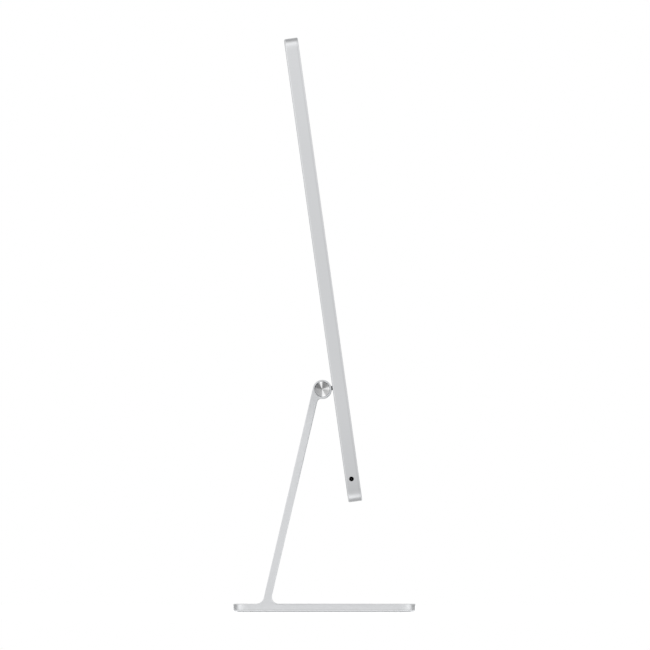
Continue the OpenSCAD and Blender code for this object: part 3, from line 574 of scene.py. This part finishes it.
SLOT = {s["node"]: s["material_slot"] for s in RECORD["subparts"]}
for node, obj in frame["nodes"].items():
    if not obj.material_slots:
        obj.data.materials.append(None)
    for s in obj.material_slots:
        s.material = MATERIAL.get(SLOT[node], MATERIAL["chip_black"])
# these two carry their parts in the same node as the board itself: (node, board thickness)
for node, thick in (("display_driver_board", 0.9), ("port_board", 1.0)):
    for s in frame["nodes"][node].material_slots:
        s.material = board(f"{node}_finish", head_box(node)[0].y + thick)


# ---------------------------------------------------------------- head housing
def cut_housing(shell):
    bm = bmesh.new()
    bore(bm, along_y(INLET.x, BACK_Y, INLET.z), 9.65, 3, 0.35, 96)
    bore(bm, along_y(WINDOW.x, BACK_Y, WINDOW.z), WINDOW_R + 0.05, 3, 0.06, 128)
    bore(bm, along_y(BUTTON.x, BACK_Y, BUTTON.z), BUTTON_R + 0.15, 3, 0.3, 96)
    bore(bm, along_x(-HEAD_WIDTH / 2, JACK.y, JACK.z, -1), 1.9, 4, 0.08, 64)
    for p in PORTS:
        stack(bm, (*PORT_OPENING, 12), ((0, -3), (0, -0.22), (-0.22, 0), (-1.2, 0.98)),
              along_y(p.x, BACK_Y, p.z))
    # a slot through the back wall, level with the hinge
    stack(bm, (72.6, 3.8, 0.5, 6), ((0, -5), (0, -0.2), (-0.2, 0), (-1.0, 0.8)),
          along_y(0, BACK_Y, 0))
    # staggered double rows of holes in the bottom edge: (centre x, holes in a row)
    pitch = 3.2
    for middle_x, count in ((-183, 16), (0, 56), (236, 16)):
        for row in (0, 1):
            for k in range(count):
                x = middle_x + (k - (count - 1) / 2) * pitch + (row - 0.5) * pitch / 2
                place = along_z(x, BACK_Y - 4.9 - 2.4 * row, BOTTOM_Z, -1)
                bore(bm, place, 0.85, 4.2, 0.12, 18, flare=0.8)
    for x in (-24, 24, 60):
        bore(bm, along_z(x, -12.65, TOP_Z), 0.5, 4.2, 0.1, 18, flare=0.6)
    boolean(shell, bm)


def housing():
    # (inset from the outline, y) from the inner back wall, round the lip, to the outer back
    profile = [(SIDE_WALL, INNER_Y), (SIDE_WALL, LEDGE_Y), (LIP, LEDGE_Y), (LIP, FRONT_Y + 0.12)]
    profile += [(LIP - 0.04, FRONT_Y + 0.03), (LIP - 0.12, FRONT_Y)]
    profile += arc(FRONT_ROUND, FRONT_Y + FRONT_ROUND, FRONT_ROUND, 270, 180, 8)
    profile += arc(BACK_ROUND, BACK_Y - BACK_ROUND, BACK_ROUND, 180, 90, 10)
    bm = bmesh.new()
    stack(bm, (HEAD_WIDTH, HEAD_HEIGHT, CORNER_R, 28), profile, along_y(0, 0, MID_Z))
    shell = to_object(bm, "housing_shell")
    cut_housing(shell)

    # screw posts inside: (x, z, radius, y of the tip, hole radius)
    posts = [(x, z, 2.6, -11.35, 1.1) for x in (-70, 70) for z in (-84, -40)]
    posts += [(x, z, 2.4, -11.35, 1.0) for x in (-66, -16) for z in (-77, -51)]
    posts += [(147.6, -73.4, 2.2, -16.35, 1.1), (204, -43, 2.2, -16.35, 1.1)]
    posts += [(side * 120 + x * 19.4, -62 + z * 19.4, 2.2, -14.45, 1.0)
              for side in (-1, 1) for x in (-1, 1) for z in (-1, 1)]
    posts += [(x + side * 25.4, -39.8, 2.1, -12.95, 1.0) for x in (-183, 239) for side in (-1, 1)]
    bm = bmesh.new()
    bm.from_mesh(shell.data)
    for x, z, r, y, hole in posts:
        tip = y - INNER_Y
        lathe(bm, [(0.15, r), (tip, r), (tip, hole), (-0.35, hole), (-0.35, 0)],
              along_y(x, INNER_Y, z), 24)
    # plates above and below the hinge slot, and a block at the headphone socket
    block(bm, -60, 60, INNER_Y - 0.8, INNER_Y + 0.1, 2.2, 20)
    block(bm, -60, 60, INNER_Y - 0.8, INNER_Y + 0.1, -20, -2.2)
    block(bm, -270.8, -257, -10.15, INNER_Y + 0.1, JACK.z - 3.6, JACK.z + 3.6)
    bm.to_mesh(shell.data)
    bm.free()
    polish(shell, "anodised_aluminium", ["head_aluminium_painted_light"], ["rear_housing"])


# ---------------------------------------------------------------- front glass and camera
SCREEN_W, SCREEN_H = 520.3, 292.7
SCREEN_TOP = TOP_Z - 13.4
SCREEN_LOW = SCREEN_TOP - SCREEN_H
CHIN_TOP = BOTTOM_Z + 55.0


def glass():
    """One sheet, split along the borders of its printed zones."""
    front = GLASS_LO.y
    bm = bmesh.new()
    stack(bm, (GLASS_HI.x - GLASS_LO.x, GLASS_HI.z - GLASS_LO.z, 9.1, 24),
          ((0, GLASS_HI.y), (0, front + 0.18), (0.05, front + 0.05), (0.18, front)),
          along_y(0, 0, (GLASS_HI.z + GLASS_LO.z) / 2))
    up = Vector((0, TILT_SIN, TILT_COS))
    planes = [(head(0, 0, z), up) for z in (SCREEN_LOW, SCREEN_TOP, CHIN_TOP)]
    planes += [(Vector((x, 0, 0)), Vector((1, 0, 0))) for x in (-SCREEN_W / 2, SCREEN_W / 2)]
    for point, normal in planes:
        bmesh.ops.bisect_plane(bm, geom=bm.verts[:] + bm.edges[:] + bm.faces[:],
                               plane_co=point, plane_no=normal, dist=1e-6)
    for f in bm.faces:
        c = unhead(f.calc_center_median())
        in_screen = abs(c.x) < SCREEN_W / 2 and SCREEN_LOW < c.z < SCREEN_TOP
        if in_screen and c.y < front + 0.01:
            f.material_index = 1
        elif c.z < CHIN_TOP:
            f.material_index = 2
    polish(to_object(bm, "glass_sheet"), "screen_glass",
           ["glass_white", "glass_screen", "glass_chin"], ["front_glass"], sharp=50)


def camera_window():
    """A dark disc in the top border of the glass, with a lens in the middle."""
    place = along_y(0, GLASS_LO.y, TOP_Z - 6.5)
    turned("camera_window", [(-0.03, 0), (-0.03, 1.9), (0.3, 1.9), (0.3, 0)], place, 48,
           "display_black", ["socket_black"])
    turned("camera_lens", [(-0.06, 0), (-0.055, 0.5), (-0.035, 0.85), (0.2, 0.85), (0.2, 0)],
           place, 40, "display_black", ["lens"])


# ---------------------------------------------------------------- stand
FOOT_R = 12.5
PAD_R = FOOT_R - 3.2
BARREL_FILLET = 3.2  # between the hinge barrel and the arm's front face
FRONT_FILLET, REAR_FILLET = 5.5, 7.0  # between the arm and the foot
PLATE_ROUND = 0.4  # along the plate's side edges
HOLE_ROUND = 0.5  # round the rims of the cable hole


def inset_loop(points, distance):
    """Moves an anticlockwise loop inwards."""
    moved = []
    for i, p in enumerate(points):
        last, following = points[i - 1], points[(i + 1) % len(points)]
        e0 = Vector((p[0] - last[0], p[1] - last[1])).normalized()
        e1 = Vector((following[0] - p[0], following[1] - p[1])).normalized()
        n0, n1 = Vector((-e0.y, e0.x)), Vector((-e1.y, e1.x))
        m = (n0 + n1).normalized()
        k = distance / max(m.dot(n0), 0.5)
        moved.append((p[0] + m.x * k, p[1] + m.y * k))
    return moved


def plate_outline(barrel_r, front, foot_top):
    """Side view of barrel and arm as (y, z); front is how far back the arm's front face is."""
    def side(down, back):
        p = arm(down, back)
        return p.y, p.z

    def fillet_centre(back, z):
        return side((HINGE.z + back * LEAN_SIN - z) / LEAN_COS, back)

    back = front - BARREL_FILLET
    down = math.sqrt((barrel_r + BARREL_FILLET) ** 2 - back * back)
    barrel_end = math.degrees(math.atan2(back, down)) % 360
    fillet_start = math.degrees(math.atan2(-back, -down)) % 360
    bends = arc(0, 0, barrel_r, 90, barrel_end, 72)
    bends += arc(down, back, BARREL_FILLET, fillet_start, 90, 14)[1:]
    lean = math.degrees(LEAN)
    y0, z0 = fillet_centre(front - FRONT_FILLET, foot_top + FRONT_FILLET)
    y1, z1 = fillet_centre(barrel_r + REAR_FILLET, foot_top + REAR_FILLET)
    return ([side(*p) for p in bends] + arc(y0, z0, FRONT_FILLET, lean, -90, 18)
            + [(y0, foot_top - 3), (y1, foot_top - 3)]
            + arc(y1, z1, REAR_FILLET, -90, lean - 180, 22))


def stand():
    lo, hi = row_box("stand")
    wide = hi.x - lo.x
    barrel_r = hi.z - HINGE.z
    front = barrel_r - MOUNT["arm_cable_hole"]["dims"]["length_mm"]
    foot_top = max(v.co.z for v in frame["nodes"]["stand"].data.vertices if v.co.y < -0.03) * 1000

    outline = plate_outline(barrel_r, front, foot_top)
    half_wide = wide / 2 - 0.005
    # (inset, distance back from the side face)
    edge = arc(PLATE_ROUND, PLATE_ROUND, PLATE_ROUND, 180, 270, 4)
    rings = []
    for sign, steps in ((-1, edge[::-1]), (1, edge)):
        for inset, back in steps:
            x = sign * (half_wide - back)
            rings.append([(x, y, z) for y, z in inset_loop(outline, inset)])
    bm = bmesh.new()
    add_rings(bm, rings)
    plate = to_object(bm, "stand_plate")

    bm = bmesh.new()
    low_r, top_r = 1.5, 0.3
    profile = arc(low_r, lo.z + low_r, low_r, 270, 180, 8)
    profile += arc(top_r, foot_top - top_r, top_r, 180, 90, 6)
    stack(bm, (wide, hi.y - lo.y, FOOT_R, 32), profile, upright)
    boolean(plate, bm, "foot", "UNION")

    # hinge bore, cable hole and recess for the foot pad
    bm = bmesh.new()
    r, half = 6.2, wide / 2
    lathe(bm, [(-half - 1, r + 1.2), (-half, r + 0.2), (-half + 0.2, r),
               (half - 0.2, r), (half, r + 0.2), (half + 1, r + 1.2)], along_hinge(), 96)
    hole_r = mount_radius("arm_cable_hole")
    hole_at = Vector(MOUNT["arm_cable_hole"]["pos_m"]) * 1000
    hole_down = (HINGE - hole_at).dot(Vector((0, -LEAN_SIN, LEAN_COS)))
    middle_back, half = (front + barrel_r) / 2, (barrel_r - front) / 2
    rim = arc(HOLE_ROUND, hole_r + HOLE_ROUND, HOLE_ROUND, 180, 270, 5)
    flare = hole_r + HOLE_ROUND + 1
    lathe(bm, [(-half - 1, flare)] + [(-half + d, r) for d, r in rim[::1]]
          + [(half - d, r) for d, r in rim[::-1]] + [(half + 1, flare)],
          lambda s, u, v: arm(hole_down + v, middle_back + s, u), 128)
    pad_lo, pad_hi = row_box("foot_pad")
    stack(bm, (pad_hi.x - pad_lo.x + 0.4, pad_hi.y - pad_lo.y + 0.4, PAD_R + 0.2, 14),
          ((0, -1.0), (0, pad_hi.z + 0.05)), upright)
    boolean(plate, bm)
    # slot for the hinge tongue in the front of the barrel
    tongue_lo, tongue_hi = head_box("hinge_tongue")
    bm = bmesh.new()
    block(bm, tongue_lo.x - 1.5, tongue_hi.x + 1.5, -barrel_r - 2, -3, -3.9, 3.9)
    boolean(plate, bm)
    polish(plate, "anodised_aluminium", ["stand_aluminium_painted_light"], ["stand"], body="stand")


def foot_pad():
    lo, hi = row_box("foot_pad")
    bm = bmesh.new()
    stack(bm, (hi.x - lo.x, hi.y - lo.y, PAD_R, 14),
          ((0.3, lo.z), (0.1, lo.z + 0.06), (0, lo.z + 0.25), (0, hi.z)), upright)
    polish(to_object(bm, "foot_cushion"), "pad_rubber", ["pad_rubber"], ["foot_pad"], body="stand")


def end_cap(word, sign):
    """Turned cap on one end of the hinge barrel; sign is -1 at the -X end."""
    node = f"hinge_end_cap_{word}"
    lo, hi = row_box(node)
    r = (hi.z - lo.z) / 2
    material = f"spun_aluminium_{word[0]}"
    spun(material, flip=sign < 0)
    profile = [(2.35, 0), (2.35, r), (0.45, r), (0.04, r - 0.35), (0.0, r - 0.41), (0.0, r - 0.5),
               (0.03, r - 0.56), (0.22, r - 0.72), (0.24, r - 0.8), (0.28, r * 0.5),
               (0.34, 0.25), (0.35, 0)]
    turned(f"hinge_cap_{word}", profile, along_hinge(lo.x if sign < 0 else hi.x, -sign), 128,
           "spun_aluminium", [material], [node], body="stand", sharp=40)


# ---------------------------------------------------------------- ports, button, window
def data_ports():
    bm = bmesh.new()
    for p in PORTS:
        stack(bm, (*PORT_SHELL, 12), ((0, -7.8), (0, -0.25), (0.06, -0.18), (0.24, -0.18),
                                      (0.3, -0.25), (0.3, -7.6)), along_y(p.x, BACK_Y, p.z))
    polish(to_object(bm, "data_port_shells"), "bright_steel", ["bright_steel"], ["usb_c_sockets"])
    bm = bmesh.new()
    for p in PORTS:
        block(bm, p.x - 0.35, p.x + 0.35, BACK_Y - 7.7, BACK_Y - 1.3, p.z - 3.35, p.z + 3.35,
              bevel=0.1)
    polish(to_object(bm, "data_port_tongues"), "chip_black", ["socket_black"])
    bm = bmesh.new()
    for p in PORTS:
        for side in (-1, 1):
            for k in range(12):
                x, z = p.x + side * 0.36, p.z + (k - 5.5) * 0.5
                block(bm, x - 0.02, x + 0.02, BACK_Y - 5.5, BACK_Y - 1.6, z - 0.13, z + 0.13)
    polish(to_object(bm, "data_port_contacts"), "friction_alloy", ["gold"])


def power_socket():
    lo, hi = head_box("power_inlet")
    outer, inner = (hi.x - lo.x) / 2, mount_radius("power_socket")
    bottom = lo.y - BACK_Y
    profile = [(bottom, 0), (bottom, outer), (-0.25, outer), (-0.1, outer - 0.15),
               (-0.08, inner + 0.2), (-0.25, inner), (-4.1, inner), (-4.3, inner - 0.2), (-4.3, 0)]
    turned("power_socket_cup", profile, along_y(INLET.x, BACK_Y, INLET.z), 96,
           "light_plastic", ["light_plastic"], ["power_inlet"])
    bm = bmesh.new()
    for k in range(-2, 3):
        lathe(bm, [(-5.0, 0), (-5.0, 0.66), (-4.22, 0.66), (-4.15, 0.55), (-4.15, 0)],
              along_y(INLET.x + k * 2.6, BACK_Y, INLET.z), 24)
    polish(to_object(bm, "power_socket_pads"), "friction_alloy", ["gold"], ["power_contacts"])


def headphone_socket():
    r = mount_radius("headphone_socket")
    place = along_x(head_box("headphone_jack")[0].x, JACK.y, JACK.z)
    profile = [(0, r + 0.03), (0.02, r + 0.08), (0.12, r + 0.1), (2.5, r + 0.1), (2.5, 3.1),
               (16, 3.1), (16, 0.0), (14.2, 0.0), (14.2, r), (0.1, r)]
    turned("headphone_socket_body", profile, place, 56, "chip_black", ["socket_black"],
           ["headphone_jack"], close=True)
    turned("headphone_socket_contact",
           [(11.9, 0), (11.9, 0.55), (12.6, 0.8), (14.1, 0.8), (14.1, 0)], place, 24,
           "bright_steel", ["dark_steel"])


def power_button():
    r, face = BUTTON_R, BUTTON_HI.y
    stem = BUTTON_LO.y - face
    profile = [(0, 0), (-0.04, r * 0.5), (-0.02, r - 0.55), (-0.02, r - 0.3), (-0.1, r - 0.1),
               (-0.3, r), (-0.85, r), (-0.85, r + 1), (-1.3, r + 1), (-1.3, 1.5), (stem, 1.5),
               (stem, 0)]
    turned("power_button_cap", profile, along_y(BUTTON.x, face, BUTTON.z), 96,
           "anodised_aluminium", ["anodised_aluminium"], ["power_button"], body="power_button")


def antenna_window():
    r = WINDOW_R
    profile = [(0, 0), (0, r - 0.12), (-0.03, r - 0.04), (-0.12, r), (-1.05, r), (-1.05, 24),
               (-1.55, 24), (-1.55, 0)]
    turned("antenna_cover", profile, along_y(WINDOW.x, BACK_Y, WINDOW.z), 128,
           "light_plastic", ["window_gloss"], ["antenna_window"])


# ---------------------------------------------------------------- floor, world, camera
def stage_floor():
    bm = bmesh.new()
    bmesh.ops.create_circle(bm, cap_ends=True, radius=1.4, segments=96)
    floor = to_object(bm, "floor")
    floor.location.z = -0.0001
    t = Surface("floor_white")
    path = t.node("ShaderNodeLightPath").outputs
    white = t.tint((0.90, 0.90, 0.90), t.span(t.noise(scale=3.0), to=(0.995, 1.005)))
    # glow as the camera sees it, and as reflections see it
    seen = t.math("MULTIPLY", path["Is Camera Ray"], 0.55)
    mirrored = t.math("MULTIPLY", path["Is Glossy Ray"], 0.38)
    t.put({"Base Color": white, "Roughness": 0.9, "Specular IOR Level": 0.0,
           "Emission Color": (1, 1, 1, 1), "Emission Strength": t.math("ADD", seen, mirrored)})
    # metal above reflects the studio instead of the floor, except right beside the foot
    foot_hi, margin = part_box("stand")[1], 0.02
    x, y, _ = t.xyz()
    near = t.math("MULTIPLY", *(t.math("LESS_THAN", t.math("ABSOLUTE", c), foot_hi[i] + margin)
                                for i, c in enumerate((x, y))))
    away = t.math("MULTIPLY", path["Is Glossy Ray"], t.math("SUBTRACT", 1.0, near))
    away = t.math("MAXIMUM", away, t.node("ShaderNodeNewGeometry").outputs["Backfacing"])
    clear = t.node("ShaderNodeBsdfTransparent").outputs[0]
    blend = t.node("ShaderNodeMixShader", {0: away, 1: t.bsdf.outputs[0], 2: clear})
    t.feed(t.tree.nodes["Material Output"].inputs[0], blend.outputs[0])
    floor.data.materials.append(t.mat)


# Studio brightness by direction: 0 is straight away from the camera, 1 is straight towards it
STUDIO = ((0.0, 1.0), (0.04, 0.74), (0.11, 0.50), (0.25, 0.34), (0.41, 0.38), (0.53, 0.95),
          (0.62, 1.18), (0.72, 1.08), (0.84, 0.90), (0.93, 0.82), (1.0, 0.78))
PEAK = 1.3  # strength of the background; the ramp's colours are divided by it


def studio():
    """A graded surround for reflections and light; the camera itself sees plain white."""
    world = bpy.data.worlds.new("studio")
    bpy.context.scene.world = world
    world.use_nodes = True
    world.node_tree.nodes.clear()
    g = Graph(world.node_tree, "Generated")
    x, y, z = g.xyz()
    surround = g.ramp(g.span(x, over=(1.0, -1.0)), STUDIO,
                      hue=(1 / PEAK, 1.002 / PEAK, 1.008 / PEAK))
    # lifts the directions that lie slanting between the Y and Z axes
    slant = g.math("ABSOLUTE", g.math("MULTIPLY", y, z))
    amount = g.span(slant, over=(0.10, 0.30), to=(0.0, 0.85), interpolation_type="SMOOTHSTEP")
    lifted = g.mix(amount, surround, (0.80 / PEAK, 0.802 / PEAK, 0.806 / PEAK), "LIGHTEN")
    soft = g.node("ShaderNodeBackground", {"Color": lifted, "Strength": PEAK}).outputs[0]
    plain = g.node("ShaderNodeBackground", {"Color": (1, 1, 1, 1)}).outputs[0]
    seen = g.node("ShaderNodeLightPath").outputs["Is Camera Ray"]
    both = g.node("ShaderNodeMixShader", {0: seen, 1: soft, 2: plain}).outputs[0]
    g.node("ShaderNodeOutputWorld", {0: both})


VIEW_WIDTH = 520.291363  # width of the view at the product, mm
CAMERA_AWAY = 24.0  # metres
CAMERA_Z = 0.090
AIM = Vector((CAD_LO[0], -0.00078, 0.2306))


def camera():
    """Looks along +X, in the plane of the screen, so that the panel is edge-on all the way up."""
    cam = bpy.data.objects.new("camera", bpy.data.cameras.new("camera"))
    bpy.context.scene.collection.objects.link(cam)
    cam.data.sensor_width = 36
    cam.data.lens = 36 * CAMERA_AWAY / (VIEW_WIDTH * MM)
    cam.data.clip_start, cam.data.clip_end = 1.0, 60.0
    depth = (BACK_Y + FRONT_Y) / 2
    low = (CAMERA_Z - HINGE.z * MM + depth * MM * TILT_SIN) / TILT_COS
    y = head(0, depth, low * 1000).y * MM
    cam.location = Vector((CAD_LO[0] - CAMERA_AWAY, y, CAMERA_Z))
    cam.rotation_mode = "QUATERNION"
    cam.rotation_quaternion = (AIM - cam.location).to_track_quat("-Z", "Y")
    scene = bpy.context.scene
    scene.camera = cam
    scene.view_settings.view_transform = "Standard"
    scene.view_settings.look = "None"


housing()
glass()
camera_window()
stand()
foot_pad()
end_cap("left", -1)
end_cap("right", 1)
data_ports()
power_socket()
headphone_socket()
power_button()
antenna_window()
stage_floor()
studio()
camera()

bpy.context.view_layer.update()
